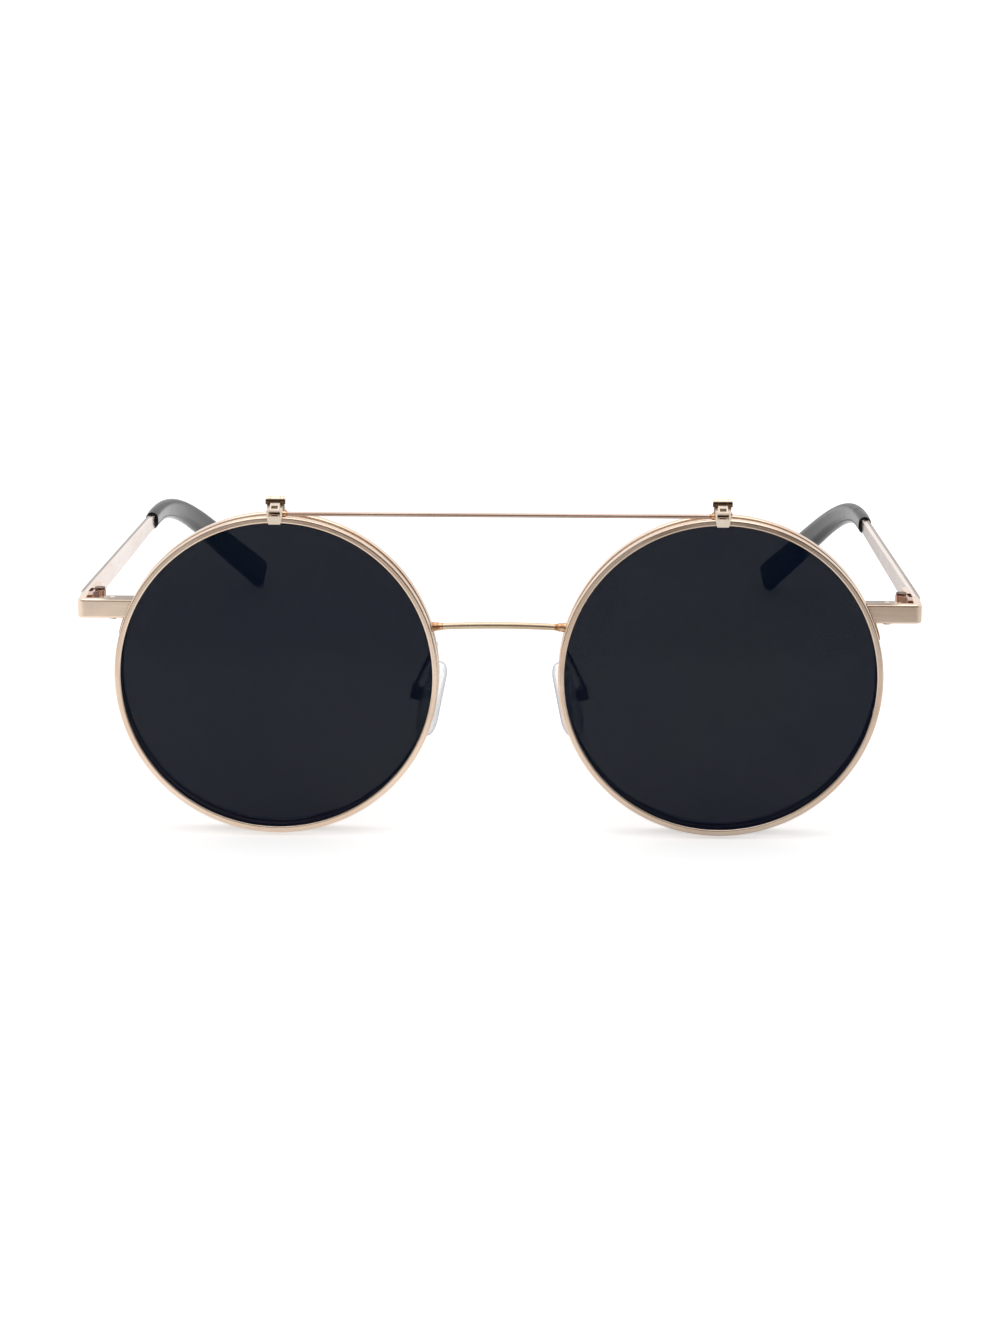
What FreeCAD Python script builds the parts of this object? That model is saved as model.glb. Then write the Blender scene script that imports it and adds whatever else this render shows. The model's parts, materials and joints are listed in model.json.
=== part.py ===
import FreeCAD, Part
import math
import operator
import os
import Sketcher

# Flip-up sunglasses: a wire front with clear lenses, a second front of dark lenses that swings up,
# two folding temples and two rocking nose pads.
# Sizes are in millimetres and degrees. Pieces are drawn with the front upright: X to the viewer's right,
# Y towards the wearer, Z up, from the middle of the base rims. The last step leans the whole object back
# until it stands on its base rims and temple tips.

drivingSizes = {
    # Round rims and lenses
    "bridgeGap": 19.6,
    "openingRadius": 25.6,
    "rimWidth": 1.1,
    "rimDepth": 1.7,
    "rimRound": 0.3,
    "grooveDepth": 0.5,
    "grooveWidth": 0.8,
    "lensThickness": 1.6,
    "lensCurve": 150.0,
    "lensFit": 0.05,
    "clipGap": 3.8,
    # Bridge wire of the base front and top bar wire of the flip front
    "bridgeWire": 1.1,
    "bridgeHeight": 7.5,
    "bridgeRise": 0.3,
    "barWire": 0.7,
    "barSeat": 0.02,
    # End pieces
    "endReach": 6.3,
    "endHeight": 3.2,
    "endCentre": 10.4,
    "endFront": 1.2,
    "endPlate": 1.2,
    "endLeg": 1.3,
    "endBack": 4.9,
    "endCorner": 1.1,
    "endRound": 0.35,
    # Rim locks behind the end pieces
    "lockReach": 2.0,
    "lockDepth": 1.9,
    "lockSlit": 0.2,
    "lockGap": 0.1,
    "lockScrewInset": 1.3,
    "lockScrew": 1.0,
    "lockHead": 1.5,
    "lockHeadHeight": 0.45,
    # Temple hinges
    "hingeInset": 2.9,
    "hingeBack": 6.5,
    "hingeBarrel": 2.0,
    "hingeScrew": 1.1,
    "hingeHead": 1.7,
    "hingeHeadHeight": 0.4,
    "hingeFit": 0.04,
    "hingeMiddle": 1.1,
    "hingeGap": 0.06,
    "hingeSweepGap": 0.15,
    "leafThickness": 0.8,
    "frontLeaf": 4.2,
    "rearLeaf": 6.0,
    # Temples and their tips
    "templeTurnAngle": 3.4,
    "templeThickness": 1.2,
    "templeHeight": 3.2,
    "templeEndHeight": 2.2,
    "templeButt": 0.08,
    "templeStraight": 71.5,
    "tipStart": 65.5,
    "tipBendRadius": 50.0,
    "tipBendAngle": 34.0,
    "tipRollAngle": 27.0,
    "tipStraight": 30.0,
    "tipHeight": 3.1,
    "tipThickness": 2.3,
    "tipEndHeight": 5.6,
    "tipEndThickness": 2.7,
    "tipRound": 0.9,
    "coreWire": 1.1,
    "coreFit": 0.02,
    "coreOverlap": 2.0,
    "coreStop": 9.0,
    # Flip hinges on top of the rims
    "flipForward": 1.9,
    "flipRise": 2.2,
    "flipBarrel": 1.6,
    "flipPin": 0.8,
    "flipFit": 0.04,
    "flipPress": 0.01,
    "flipMiddle": 1.6,
    "flipSideGap": 0.05,
    "flipCheek": 0.55,
    "flipPinHead": 1.2,
    "flipPinHeadHeight": 0.2,
    "postFoot": 0.7,
    "armWidth": 2.5,
    "armBlock": 1.3,
    "armBlockBack": 0.6,
    "armFoot": 0.45,
    "armFootDrop": 1.15,
    "armFootWidth": 1.9,
    "armWindow": 1.9,
    "armWindowSill": 0.15,
    "armWindowHeight": 0.85,
    "armSlot": 1.0,
    "armSlotFront": 0.4,
    "armSlotDepth": 1.0,
    "armNeck": 0.3,
    "armStop": 0.05,
    # Nose pads and what carries them
    "padArmWire": 0.8,
    "padArmHeight": 3.4,
    "padArmTiltAngle": 25.5,
    "padArmBack": 6.0,
    "padArmBend": 1.8,
    "padArmDrop": 8.4,
    "padArmSink": 0.3,
    "boxTurnAngle": 11.5,
    "boxLength": 2.0,
    "boxWidth": 2.4,
    "boxBase": 0.8,
    "boxDepth": 1.2,
    "boxSlot": 1.4,
    "padScrew": 0.6,
    "padHead": 1.1,
    "padHeadHeight": 0.35,
    "padFit": 0.04,
    "lugSideGap": 0.05,
    "lugRound": 0.5,
    "lugReach": 1.9,
    "flangeLength": 4.4,
    "flangeWidth": 2.6,
    "flangeThickness": 0.6,
    "padSplayAngle": 16.0,
    "padSeat": 1.2,
    "padLower": 3.3,
    "padLowerRadius": 3.7,
    "padUpper": 3.5,
    "padUpperRadius": 2.5,
    "padThickness": 2.2,
    "padRound": 0.95,
    # Screwdriver slots and cuts
    "slotWidth": 0.25,
    "slotDepth": 0.2,
    "cutOverrun": 1.0,
}

Vector = FreeCAD.Vector
Placement = FreeCAD.Placement
Rotation = FreeCAD.Rotation

doc = FreeCAD.newDocument("FlipUpSunglasses")
sheet = doc.addObject("Spreadsheet::Sheet", "Sizes")
for row, (alias, number) in enumerate(drivingSizes.items(), start=1):
    sheet.set("A%d" % row, alias)
    sheet.set("B%d" % row, str(number))
    sheet.setAlias("B%d" % row, alias)
doc.recompute()

operations = {"+": operator.add, "-": operator.sub, "*": operator.mul, "/": operator.truediv}


def combine(first, sign, second):
    first, second = as_bound(first), as_bound(second)
    value = operations[sign](first.value, second.value)
    return Bound(value, "(%s %s %s)" % (first.text, sign, second.text))


class Bound:
    # A number together with the sheet expression that gives it.
    def __init__(self, value, text):
        self.value = value
        self.text = text

    def __add__(self, other):
        return combine(self, "+", other)

    def __sub__(self, other):
        return combine(self, "-", other)

    def __mul__(self, other):
        return combine(self, "*", other)

    def __truediv__(self, other):
        return combine(self, "/", other)

    def __neg__(self):
        return combine(0, "-", self)


def as_bound(number):
    return number if isinstance(number, Bound) else Bound(float(number), repr(number))


def size(alias):
    return Bound(float(sheet.get(alias)), "Sizes." + alias)


def square_root(bound):
    return Bound(math.sqrt(bound.value), "sqrt(%s)" % bound.text)


zero = as_bound(0)
overrun = size("cutOverrun")
rimOuter = size("openingRadius") + size("rimWidth")
lensCentre = rimOuter + size("bridgeGap") / 2
halfDepth = size("rimDepth") / 2
endOuter = lensCentre + rimOuter + size("endReach")
lockOuter = lensCentre + rimOuter + size("lockReach")
endLow = size("endCentre") - size("endHeight") / 2
endHigh = size("endCentre") + size("endHeight") / 2


# Drawing helpers

def new_body(label):
    body = doc.addObject("PartDesign::Body", label)
    body.Label = label
    return body


def origin_of(body, role):
    return next(item for item in body.Origin.OriginFeatures if item.Role == role)


def new_sketch(body, role, offset=zero):
    sketch = body.newObject("Sketcher::SketchObject", body.Name + "_sketch")
    sketch.AttachmentSupport = (origin_of(body, role), "")
    sketch.MapMode = "FlatFace"
    sketch.AttachmentOffset = Placement(Vector(0, 0, offset.value), Rotation())
    if offset is not zero:
        sketch.setExpression("AttachmentOffset.Base.z", offset.text)
    return sketch


def bind(sketch, constraint, text):
    index = sketch.addConstraint(constraint)
    sketch.setExpression("Constraints[%d]" % index, text)


def fix_point(sketch, item, end, x, y):
    for kind, axis, place in (("DistanceX", -2, as_bound(x)), ("DistanceY", -1, as_bound(y))):
        if place.value == 0:
            sketch.addConstraint(Sketcher.Constraint("PointOnObject", item, end, axis))
        else:
            bind(sketch, Sketcher.Constraint(kind, -1, 1, item, end, place.value), place.text)


def draw_polygon(sketch, points):
    points = [(as_bound(x), as_bound(y)) for x, y in points]
    first = sketch.GeometryCount
    count = len(points)
    corners = [Vector(x.value, y.value, 0) for x, y in points]
    for index in range(count):
        sketch.addGeometry(Part.LineSegment(corners[index], corners[(index + 1) % count]))
    for index in range(count):
        following = first + (index + 1) % count
        sketch.addConstraint(Sketcher.Constraint("Coincident", first + index, 2, following, 1))
    for index, (x, y) in enumerate(points):
        fix_point(sketch, first + index, 1, x, y)


def draw_rectangle(sketch, left, low, right, high):
    draw_polygon(sketch, [(left, low), (right, low), (right, high), (left, high)])


def draw_circle(sketch, x, y, radius):
    x, y = as_bound(x), as_bound(y)
    item = sketch.addGeometry(Part.Circle(Vector(x.value, y.value, 0), Vector(0, 0, 1), radius.value))
    fix_point(sketch, item, 3, x, y)
    bind(sketch, Sketcher.Constraint("Radius", item, radius.value), radius.text)


def pad_between(body, role, low, high, draw):
    # The XZ plane faces the viewer, so its sketch stands at the far side.
    sketch = new_sketch(body, role, -high if role == "XZ_Plane" else low)
    draw(sketch)
    pad = body.newObject("PartDesign::Pad", body.Name + "_pad")
    pad.Profile = sketch
    pad.setExpression("Length", (high - low).text)
    doc.recompute()
    return pad


def cut_through(body, role, draw):
    before = body.Shape.Volume
    sketch = new_sketch(body, role)
    draw(sketch)
    pocket = body.newObject("PartDesign::Pocket", body.Name + "_pocket")
    pocket.Profile = sketch
    pocket.Type = "ThroughAll"
    pocket.SideType = "Symmetric"
    doc.recompute()
    if not body.Shape.Volume < before:
        raise ValueError("a cut in %s removes nothing" % body.Label)
    return pocket


def cut_between(body, role, low, high, draw):
    before = body.Shape.Volume
    sketch = new_sketch(body, role, -low if role == "XZ_Plane" else high)
    draw(sketch)
    pocket = body.newObject("PartDesign::Pocket", body.Name + "_pocket")
    pocket.Profile = sketch
    pocket.setExpression("Length", (high - low).text)
    doc.recompute()
    if not body.Shape.Volume < before:
        raise ValueError("a cut in %s removes nothing" % body.Label)
    return pocket


def revolve(body, role, axis, draw):
    sketch = new_sketch(body, role)
    draw(sketch)
    revolution = body.newObject("PartDesign::Revolution", body.Name + "_revolution")
    revolution.Profile = sketch
    revolution.ReferenceAxis = (origin_of(body, axis), [""])
    doc.recompute()
    return revolution


def round_edges(body, feature, radius, wanted):
    names = ["Edge%d" % number for number, edge in enumerate(feature.Shape.Edges, start=1) if wanted(edge)]
    fillet = body.newObject("PartDesign::Fillet", body.Name + "_fillet")
    fillet.Base = (feature, names)
    fillet.setExpression("Radius", radius.text)
    doc.recompute()
    return fillet


def place(body, x, y, z, rotation=None):
    body.Placement = Placement(Vector(as_bound(x).value, as_bound(y).value, as_bound(z).value),
                               rotation or Rotation())
    return body


sameShare = 1e-6


def near(first, second):
    return abs(first - second) < sameShare * size("bridgeGap").value


# Rims and lenses

rimArcs = 4


def rim(label, depth, turn="360 deg"):
    body = new_body(label)
    inner = size("openingRadius")
    groove = inner + size("grooveDepth")
    halfGroove = size("grooveWidth") / 2
    ring = revolve(body, "XY_Plane", "Y_Axis", lambda sketch: draw_polygon(sketch, [
        (inner, -halfDepth), (rimOuter, -halfDepth), (rimOuter, halfDepth), (inner, halfDepth),
        (inner, halfGroove), (groove, halfGroove), (groove, -halfGroove), (inner, -halfGroove)]))
    ring.setExpression("Angle", turn)
    doc.recompute()

    def faces_out(edge):
        return hasattr(edge.Curve, "Radius") and near(abs(edge.CenterOfMass.y), halfDepth.value)

    round_edges(body, ring, size("rimRound"), faces_out)
    return place(body, lensCentre, depth, zero)


def split_rim(label, depth):
    # Arcs joined end to end, from under the slit at the end piece down and round until above it.
    low = (size("endCentre") - size("lockSlit") / 2) / rimOuter
    high = (size("endCentre") + size("lockSlit") / 2) / rimOuter
    start = math.degrees(math.asin(low.value))
    turn = (360 - math.degrees(math.asin(high.value)) + start) / rimArcs
    spread = "(360 deg - asin(%s) + asin(%s)) / %d" % (high.text, low.text, rimArcs)
    first = rim(label + "_arc", depth, spread)
    arcs = []
    for index in range(rimArcs):
        arc = first.Shape.copy()
        arc.rotate(first.Placement.Base, Vector(0, 1, 0), index * turn - start)
        arcs.append(arc)
    ring = doc.addObject("Part::Feature", label)
    ring.Label = label
    ring.Shape = arcs[0].multiFuse(arcs[1:]).Solids[0]
    return ring


def ball(body, kind, back, radius):
    # A ball about a point on the lens axis.
    sphere = body.newObject("PartDesign::" + kind, body.Name + "_ball")
    sphere.setExpression("Radius", radius.text)
    sphere.setExpression("Placement.Base.y", back.text)
    doc.recompute()


def lens(label, depth):
    body = new_body(label)
    edge = size("openingRadius") - size("lensFit")
    tongue = size("openingRadius") + size("grooveDepth") - size("lensFit")
    halfTongue = size("grooveWidth") / 2 - size("lensFit")
    half = size("lensThickness") / 2
    curve = size("lensCurve")
    fall = square_root(curve * curve - edge * edge)

    def draw_surround(sketch):
        draw_circle(sketch, zero, zero, edge)
        draw_circle(sketch, zero, zero, curve + overrun)

    # The front and back faces belong to two balls, one thickness apart.
    ball(body, "AdditiveSphere", fall - half, curve)
    cut_through(body, "XZ_Plane", draw_surround)
    ball(body, "SubtractiveSphere", fall + half, curve)
    revolve(body, "XY_Plane", "Y_Axis", lambda sketch: draw_rectangle(
        sketch, edge - size("grooveDepth"), -halfTongue, tongue, halfTongue))
    return place(body, lensCentre, depth, zero)


# Wires that join the two sides

def bridge(label):
    body = new_body(label)
    reach = lensCentre - square_root(rimOuter * rimOuter - size("bridgeHeight") * size("bridgeHeight"))
    rise = size("bridgeRise")
    bow = (reach * reach + rise * rise) / (rise * 2)
    crown = size("bridgeHeight") + rise
    spread = math.degrees(math.asin((reach + overrun).value / bow.value))
    sketch = new_sketch(body, "YZ_Plane")
    draw_circle(sketch, zero, crown, size("bridgeWire") / 2)
    axle = sketch.addGeometry(Part.LineSegment(Vector(0, (crown - bow).value, 0),
                                               Vector(bow.value, (crown - bow).value, 0)), True)
    fix_point(sketch, axle, 1, zero, crown - bow)
    fix_point(sketch, axle, 2, bow, crown - bow)
    wire = body.newObject("PartDesign::Revolution", label + "_revolution")
    wire.Profile = sketch
    wire.ReferenceAxis = (sketch, ["Axis0"])
    wire.Midplane = True
    wire.setExpression("Angle", "2 * asin(%s / %s)" % ((reach + overrun).text, bow.text))
    doc.recompute()
    if not near(float(wire.Angle), 2 * spread):
        raise ValueError("the bridge does not reach its rims")
    trim_to_rims(body, (-lensCentre, lensCentre))
    return body


def trim_to_rims(body, centres):
    for centre in centres:
        cut_through(body, "XZ_Plane", lambda sketch: draw_circle(sketch, centre, zero, rimOuter))


def top_bar(label):
    body = new_body(label)
    half = lensCentre - size("armWidth") / 2
    radius = size("barWire") / 2
    pad_between(body, "YZ_Plane", -half, half, lambda sketch: draw_circle(
        sketch, -size("clipGap"), rimOuter + radius + size("barSeat"), radius))
    return body


# End pieces and rim locks

def end_piece(label):
    body = new_body(label)
    outer = endOuter
    front = -size("endFront")
    start = lensCentre + rimOuter / 2
    plate = pad_between(body, "XY_Plane", endLow, endHigh, lambda sketch: draw_polygon(sketch, [
        (start, front), (outer, front), (outer, size("endBack")), (outer - size("endLeg"), size("endBack")),
        (outer - size("endLeg"), front + size("endPlate")), (start, front + size("endPlate"))]))

    def is_corner(edge):
        middle = edge.CenterOfMass
        return near(middle.x, outer.value) and near(middle.y, front.value) and near(middle.z, endCentre)

    def is_rim_of_face(edge):
        # The long edges of the outside face, above and below, and round the corner between them.
        middle = edge.CenterOfMass
        level = near(edge.BoundBox.ZLength, 0)
        ahead = near(edge.BoundBox.YMin, front.value) and near(edge.BoundBox.YLength, 0)
        outside = near(edge.BoundBox.XMax, outer.value) and middle.x > outer.value - size("endLeg").value / 2
        return level and (ahead or outside) and not near(edge.BoundBox.YMin, size("endBack").value)

    endCentre = size("endCentre").value
    corner = round_edges(body, plate, size("endCorner"), is_corner)
    round_edges(body, corner, size("endRound"), is_rim_of_face)
    trim_to_rims(body, (lensCentre,))
    return body


def rim_lock(label, low, high, front):
    body = new_body(label)
    start = lensCentre + rimOuter / 2
    pad_between(body, "XZ_Plane", front, size("lockDepth"), lambda sketch: draw_rectangle(
        sketch, start, low, lockOuter, high))
    trim_to_rims(body, (lensCentre,))
    cut_through(body, "XY_Plane", lambda sketch: draw_circle(
        sketch, lockOuter - size("lockScrewInset"), size("lockDepth") / 2, size("lockScrew") / 2))
    return body


def screw(label, shank, length, head, headHeight):
    # The shank points down from the underside of the head, which is at the screw's own origin.
    body = new_body(label)
    revolve(body, "XZ_Plane", "Z_Axis", lambda sketch: draw_polygon(sketch, [
        (zero, -length), (shank / 2, -length), (shank / 2, zero),
        (head / 2, zero), (head / 2, headHeight), (zero, headHeight)]))
    half = size("slotWidth") / 2
    cut_between(body, "XY_Plane", headHeight - size("slotDepth"), headHeight, lambda sketch: draw_rectangle(
        sketch, -head, -half, head, half))
    return body


# Temple hinges, drawn from the hinge axis at mid height

hingeX = endOuter - size("hingeInset")
hingeHalf = size("endHeight") / 2
middleHalf = size("hingeMiddle") / 2
barrel = size("hingeBarrel") / 2
legInside = size("hingeInset") - size("endLeg")
templeInside = size("hingeInset") - size("templeThickness")


def front_hinge(label):
    body = new_body(label)
    pad_between(body, "XY_Plane", -hingeHalf, hingeHalf, lambda sketch: draw_rectangle(
        sketch, legInside - size("leafThickness"), -size("frontLeaf"), legInside,
        size("endBack") - size("hingeBack")))
    pad_between(body, "XY_Plane", -hingeHalf, hingeHalf, lambda sketch: draw_circle(
        sketch, zero, zero, barrel))
    pad_between(body, "XY_Plane", -hingeHalf, hingeHalf, lambda sketch: draw_polygon(sketch, [
        (zero, -barrel), (legInside - size("leafThickness") / 2, -size("frontLeaf") / 2),
        (legInside - size("leafThickness") / 2, size("endBack") - size("hingeBack")), (barrel, zero)]))
    cut_between(body, "XY_Plane", -middleHalf - size("hingeGap"), middleHalf + size("hingeGap"),
                lambda sketch: draw_circle(sketch, zero, zero, barrel + size("hingeSweepGap")))
    cut_through(body, "XY_Plane", lambda sketch: draw_circle(sketch, zero, zero, size("hingeScrew") / 2))
    return place(body, hingeX, size("hingeBack"), size("endCentre"))


def temple_frame():
    return Rotation(Vector(0, 0, 1), size("templeTurnAngle").value)


def rear_hinge(label):
    body = new_body(label)
    clear = barrel + size("hingeSweepGap")
    pad_between(body, "XY_Plane", -middleHalf, middleHalf, lambda sketch: draw_circle(
        sketch, zero, zero, barrel))
    pad_between(body, "XY_Plane", -middleHalf, middleHalf, lambda sketch: draw_rectangle(
        sketch, templeInside - size("leafThickness"), zero, templeInside, size("rearLeaf")))
    pad_between(body, "XY_Plane", -hingeHalf, hingeHalf, lambda sketch: draw_rectangle(
        sketch, templeInside - size("leafThickness"), clear, templeInside, size("rearLeaf")))
    cut_through(body, "XY_Plane", lambda sketch: draw_circle(
        sketch, zero, zero, size("hingeScrew") / 2 + size("hingeFit")))
    return place(body, hingeX, size("hingeBack"), size("endCentre"), temple_frame())


# Temples, drawn from the hinge axis along their own straight run

templeMiddle = templeInside + size("templeThickness") / 2
coreRun = size("tipStraight") - size("coreStop")


def temple_bar(label):
    body = new_body(label)
    butt = size("endBack") + size("templeButt") - size("hingeBack")
    half = size("templeHeight") / 2
    endHalf = size("templeEndHeight") / 2
    pad_between(body, "YZ_Plane", templeInside, size("hingeInset"), lambda sketch: draw_polygon(sketch, [
        (butt, -half), (size("rearLeaf"), -half), (size("tipStart"), -endHalf),
        (size("tipStart"), endHalf), (size("rearLeaf"), half), (butt, half)]))
    start = size("tipStart") - size("coreOverlap")
    profile = new_sketch(body, "XZ_Plane", -start)
    draw_circle(profile, templeMiddle, zero, size("coreWire") / 2)
    spine = new_sketch(body, "YZ_Plane")
    spine.AttachmentOffset = Placement(Vector(0, 0, templeMiddle.value),
                                       Rotation(Vector(1, 0, 0), size("tipRollAngle").value))
    spine.setExpression("AttachmentOffset.Base.z", templeMiddle.text)
    draw_core_line(spine, start)
    core = body.newObject("PartDesign::AdditivePipe", label + "_core")
    core.Profile = profile
    core.Spine = (spine, ["Edge1", "Edge2", "Edge3"])
    doc.recompute()
    return place(body, hingeX, size("hingeBack"), size("endCentre"), temple_frame())


def draw_core_line(sketch, start):
    # A straight run, the bend and a second straight run, tangent to each other.
    bend = size("tipBendRadius")
    straight = size("templeStraight")
    angle = math.radians(size("tipBendAngle").value)
    bendEnd = Vector(straight.value + bend.value * math.sin(angle), bend.value * (math.cos(angle) - 1), 0)
    ahead = Vector(math.cos(angle), -math.sin(angle), 0)
    circle = Part.Circle(Vector(straight.value, -bend.value, 0), Vector(0, 0, 1), bend.value)
    first = sketch.addGeometry(Part.LineSegment(Vector(start.value, 0, 0), Vector(straight.value, 0, 0)))
    arc = sketch.addGeometry(Part.ArcOfCircle(circle, math.pi / 2 - angle, math.pi / 2))
    last = sketch.addGeometry(Part.LineSegment(bendEnd, bendEnd + ahead * coreRun.value))
    fix_point(sketch, first, 1, start, zero)
    fix_point(sketch, first, 2, straight, zero)
    sketch.addConstraint(Sketcher.Constraint("Tangent", first, 2, arc, 2))
    sketch.addConstraint(Sketcher.Constraint("Tangent", arc, 1, last, 1))
    bind(sketch, Sketcher.Constraint("Radius", arc, bend.value), bend.text)
    bind(sketch, Sketcher.Constraint("Distance", last, coreRun.value), coreRun.text)
    bind(sketch, Sketcher.Constraint("Angle", last, -angle), "-%s * 1 deg" % size("tipBendAngle").text)


def temple_line(along):
    # Point and direction of the temple's centre line at a length from the hinge axis.
    straight = size("templeStraight").value
    bend = size("tipBendRadius").value
    angle = math.radians(size("tipBendAngle").value)
    roll = math.radians(size("tipRollAngle").value)
    turned = min(max((along - straight) / bend, 0), angle)
    rest = max(along - straight - bend * angle, 0)
    forward = min(along, straight) + bend * math.sin(turned) + rest * math.cos(angle)
    aside = bend * (1 - math.cos(turned)) + rest * math.sin(angle)
    down = Vector(-math.sin(roll), 0, -math.cos(roll))
    point = Vector(templeMiddle.value, forward, 0) + down * aside
    return point, Vector(0, math.cos(turned), 0) + down * math.sin(turned)


def stadium(point, ahead, height, thickness):
    # A flat section with round edges, its height as upright as the line allows.
    upright = Vector(0, 0, 1)
    tall = (upright - ahead * upright.dot(ahead)).normalize()
    wide = ahead.cross(tall)
    half = thickness / 2
    rise = tall * (height / 2 - half)
    corners = [point + rise + wide * half, point + rise - wide * half,
               point - rise - wide * half, point - rise + wide * half]
    crown = tall * (height / 2)
    return Part.Wire([Part.Arc(corners[0], point + crown, corners[1]).toShape(),
                      Part.LineSegment(corners[1], corners[2]).toShape(),
                      Part.Arc(corners[2], point - crown, corners[3]).toShape(),
                      Part.LineSegment(corners[3], corners[0]).toShape()])


# Each station along a tip: share of its length, then share of the growth from mouth to paddle.
tipStationShares = ((0.0, 0.0), (0.12, 0.1), (0.25, 0.22), (0.38, 0.36), (0.52, 0.52), (0.68, 0.72),
                    (0.84, 0.9), (1.0, 1.0))


def temple_tip(label):
    start = size("tipStart").value
    bendLength = size("tipBendRadius").value * math.radians(size("tipBendAngle").value)
    end = size("templeStraight").value + bendLength + size("tipStraight").value
    sections = []
    for lengthShare, growthShare in tipStationShares:
        point, ahead = temple_line(start + lengthShare * (end - start))
        height = size("tipHeight") + (size("tipEndHeight") - size("tipHeight")) * growthShare
        thickness = size("tipThickness") + (size("tipEndThickness") - size("tipThickness")) * growthShare
        sections.append(stadium(point, ahead, height.value, thickness.value))
    sleeve = Part.makeLoft(sections, True, False)
    last = sections[-1].CenterOfMass
    reach = size("tipEndHeight").value / 2
    rounded = [edge for edge in sleeve.Edges if all((v.Point - last).Length < reach for v in edge.Vertexes)]
    sleeve = sleeve.makeFillet(size("tipRound").value, rounded)
    tip = doc.addObject("Part::Feature", label)
    tip.Label = label
    tip.Shape = sleeve.cut(core_bore(start)).Solids[0]
    return place(tip, hingeX, size("hingeBack"), size("endCentre"), temple_frame())


def core_bore(start):
    straight = size("templeStraight").value
    bendEnd = straight + size("tipBendRadius").value * math.radians(size("tipBendAngle").value)
    stations = (start - overrun.value, straight, (straight + bendEnd) / 2, bendEnd,
                bendEnd + coreRun.value + size("coreFit").value)
    points = [temple_line(along)[0] for along in stations]
    path = Part.Wire([Part.LineSegment(points[0], points[1]).toShape(),
                      Part.Arc(points[1], points[2], points[3]).toShape(),
                      Part.LineSegment(points[3], points[4]).toShape()])
    radius = size("coreWire").value / 2 + size("coreFit").value
    mouth = Part.Wire(Part.Circle(points[0], Vector(0, 1, 0), radius).toShape())
    return path.makePipeShell([mouth], True, False)


# Flip hinges, drawn in side view on the middle line of one lens

flipY = -size("flipForward")
flipZ = rimOuter + size("flipRise")
flipBarrel = size("flipBarrel") / 2
postHalf = size("flipMiddle") / 2 + size("flipSideGap") + size("flipCheek")
postTop = rimOuter + size("postFoot")


def flip_post(label):
    body = new_body(label)
    pad_between(body, "YZ_Plane", -postHalf, postHalf, lambda sketch: draw_polygon(sketch, [
        (-halfDepth, rimOuter), (halfDepth, rimOuter), (halfDepth, postTop),
        (flipY + flipBarrel, flipZ), (flipY, flipZ - flipBarrel)]))
    pad_between(body, "YZ_Plane", -postHalf, postHalf, lambda sketch: draw_circle(
        sketch, flipY, flipZ, flipBarrel))
    ahead = flipY - flipBarrel * 2
    above = flipZ + flipBarrel * 2
    slot = size("flipMiddle") / 2 + size("flipSideGap")
    cut_between(body, "YZ_Plane", -slot, slot, lambda sketch: draw_polygon(sketch, [
        (ahead, rimOuter - overrun), (-halfDepth, rimOuter - overrun), (-halfDepth, postTop),
        (halfDepth + overrun, postTop), (halfDepth + overrun, above), (ahead, above)]))
    cut_through(body, "YZ_Plane", lambda sketch: draw_circle(
        sketch, flipY, flipZ, size("flipPin") / 2 + size("flipPress")))
    return place(body, lensCentre, zero, zero)


def flip_arm(label):
    body = new_body(label)
    rimFront = -size("clipGap") - halfDepth
    front = rimFront - size("armFoot")
    back = -size("clipGap") + size("armBlockBack")
    half = size("armWidth") / 2
    footHalf = size("armFootWidth") / 2
    windowHalf = size("armWindow") / 2
    middle = size("flipMiddle") / 2
    top = rimOuter + size("armBlock")
    sill = rimOuter + size("armWindowSill")
    pad_between(body, "XZ_Plane", front, back, lambda sketch: draw_rectangle(
        sketch, -half, rimOuter, half, top))
    pad_between(body, "XZ_Plane", front, rimFront, lambda sketch: draw_polygon(sketch, [
        (-half, rimOuter), (-footHalf, rimOuter - size("armFootDrop")),
        (footHalf, rimOuter - size("armFootDrop")), (half, rimOuter)]))
    cut_through(body, "XZ_Plane", lambda sketch: draw_rectangle(
        sketch, -windowHalf, sill, windowHalf, sill + size("armWindowHeight")))
    neckFoot = top - size("armNeck")
    pad_between(body, "YZ_Plane", -middle, middle, lambda sketch: draw_polygon(sketch, [
        (front, neckFoot), (back, neckFoot), (flipY, flipZ - flipBarrel), (flipY, flipZ), (front, top)]))
    # The heel meets the post's foot when the dark lenses are down.
    heel = -halfDepth - size("armStop")
    pad_between(body, "YZ_Plane", -middle, middle, lambda sketch: draw_polygon(sketch, [
        (flipY, flipZ), (flipY, flipZ - flipBarrel), (heel - flipBarrel, rimOuter + size("armWindowSill")),
        (heel, rimOuter + size("armWindowSill")), (heel, postTop), (flipY + flipBarrel, flipZ)]))
    pad_between(body, "YZ_Plane", -middle, middle, lambda sketch: draw_circle(
        sketch, flipY, flipZ, flipBarrel))
    slotHalf = size("armSlot") / 2
    slotFront = front + size("armSlotFront")
    cut_through(body, "XY_Plane", lambda sketch: draw_rectangle(
        sketch, -slotHalf, slotFront, slotHalf, slotFront + size("armSlotDepth")))
    cut_through(body, "YZ_Plane", lambda sketch: draw_circle(
        sketch, flipY, flipZ, size("flipPin") / 2 + size("flipFit")))
    return place(body, lensCentre, zero, zero)


def flip_pin(label):
    body = new_body(label)
    radius = size("flipPin") / 2
    head = size("flipPinHead") / 2
    half = postHalf + size("flipPress")
    end = half + size("flipPinHeadHeight")
    revolve(body, "XZ_Plane", "X_Axis", lambda sketch: draw_polygon(sketch, [
        (-end, zero), (end, zero), (end, head), (half, head), (half, radius),
        (-half, radius), (-half, head), (-end, head)]))
    return place(body, lensCentre, flipY, flipZ)


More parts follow.
